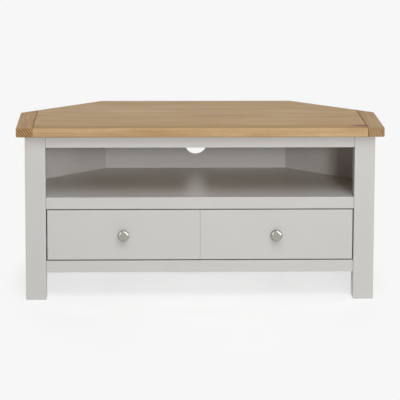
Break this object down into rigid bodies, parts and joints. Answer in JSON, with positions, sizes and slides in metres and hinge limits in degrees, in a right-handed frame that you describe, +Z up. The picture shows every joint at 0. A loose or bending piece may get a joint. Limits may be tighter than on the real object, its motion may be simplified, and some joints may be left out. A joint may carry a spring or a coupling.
{
  "type": "corner tv cabinet",
  "caption": "Low corner television cabinet with an oak top, painted frame, open media bay with a cable hole, and a wide drawer with round knobs.",
  "frame": {"origin": "on the floor, under the middle of the box round the whole cabinet", "axes": "+Z up, -Y towards the front with the drawer, +X to the right seen from the front"},
  "size_m": [1.1, 0.55, 0.53],
  "materials": {
    "grey_paint": "satin light grey paint on wood",
    "oak": "lacquered oak",
    "raw_birch": "unpainted birch plywood",
    "zinc_steel": "bright zinc plate",
    "satin_nickel": "satin nickel plate",
    "dark_plastic": "dark moulded nylon"
  },
  "bodies": {
    "carcass": {"angled_panel_left": "grey_paint", "angled_panel_right": "grey_paint", "back_panel": "grey_paint", "bottom_panel": "grey_paint", "bottom_rail": "grey_paint", "breadboard_end_left": "oak", "breadboard_end_right": "oak", "cabinet_runner_left": "zinc_steel", "cabinet_runner_right": "zinc_steel", "cabinet_runner_screw_1_left": "zinc_steel", "cabinet_runner_screw_1_right": "zinc_steel", "cabinet_runner_screw_2_left": "zinc_steel", "cabinet_runner_screw_2_right": "zinc_steel", "cleat_back": "raw_birch", "cleat_back_screw_1": "zinc_steel", "cleat_back_screw_2": "zinc_steel", "cleat_left": "raw_birch", "cleat_left_screw_1": "zinc_steel", "cleat_left_screw_2": "zinc_steel", "cleat_right": "raw_birch", "cleat_right_screw_1": "zinc_steel", "cleat_right_screw_2": "zinc_steel", "front_glide_left": "dark_plastic", "front_glide_right": "dark_plastic", "front_post_left": "grey_paint", "front_post_right": "grey_paint", "inner_side_left": "grey_paint", "inner_side_right": "grey_paint", "rear_glide_left": "dark_plastic", "rear_glide_right": "dark_plastic", "rear_leg_left": "grey_paint", "rear_leg_right": "grey_paint", "shelf_panel": "grey_paint", "shelf_rail": "grey_paint", "side_panel_left": "grey_paint", "side_panel_right": "grey_paint", "top_board": "oak", "top_rail": "grey_paint"},
    "drawer": {"drawer_bottom": "raw_birch", "drawer_box_back": "raw_birch", "drawer_box_front": "raw_birch", "drawer_front": "grey_paint", "drawer_runner_left": "zinc_steel", "drawer_runner_right": "zinc_steel", "drawer_runner_screw_1_left": "zinc_steel", "drawer_runner_screw_1_right": "zinc_steel", "drawer_runner_screw_2_left": "zinc_steel", "drawer_runner_screw_2_right": "zinc_steel", "drawer_side_left": "raw_birch", "drawer_side_right": "raw_birch", "knob_left": "satin_nickel", "knob_right": "satin_nickel", "knob_screw_left": "zinc_steel", "knob_screw_right": "zinc_steel"},
    "middle_runners": {"middle_runner_left": "zinc_steel", "middle_runner_right": "zinc_steel"},
    "outer_ball_cages": {"outer_ball_cage_left": "zinc_steel", "outer_ball_cage_right": "zinc_steel"},
    "inner_ball_cages": {"inner_ball_cage_left": "zinc_steel", "inner_ball_cage_right": "zinc_steel"}
  },
  "joints": [
    {"name": "drawer_slide", "type": "slide", "parent": "carcass", "child": "drawer", "axis": [0, -1, 0], "range_m": [0, 0.29]},
    {"name": "middle_runner_slide", "type": "slide", "parent": "carcass", "child": "middle_runners", "axis": [0, -1, 0], "range_m": [0, 0.145]},
    {"name": "outer_cage_slide", "type": "slide", "parent": "carcass", "child": "outer_ball_cages", "axis": [0, -1, 0], "range_m": [0, 0.0725]},
    {"name": "inner_cage_slide", "type": "slide", "parent": "carcass", "child": "inner_ball_cages", "axis": [0, -1, 0], "range_m": [0, 0.2175]}
  ],
  "couplings": [
    {"joint": "middle_runner_slide", "follows": "drawer_slide", "ratio": 0.5},
    {"joint": "outer_cage_slide", "follows": "drawer_slide", "ratio": 0.25},
    {"joint": "inner_cage_slide", "follows": "drawer_slide", "ratio": 0.75}
  ]
}
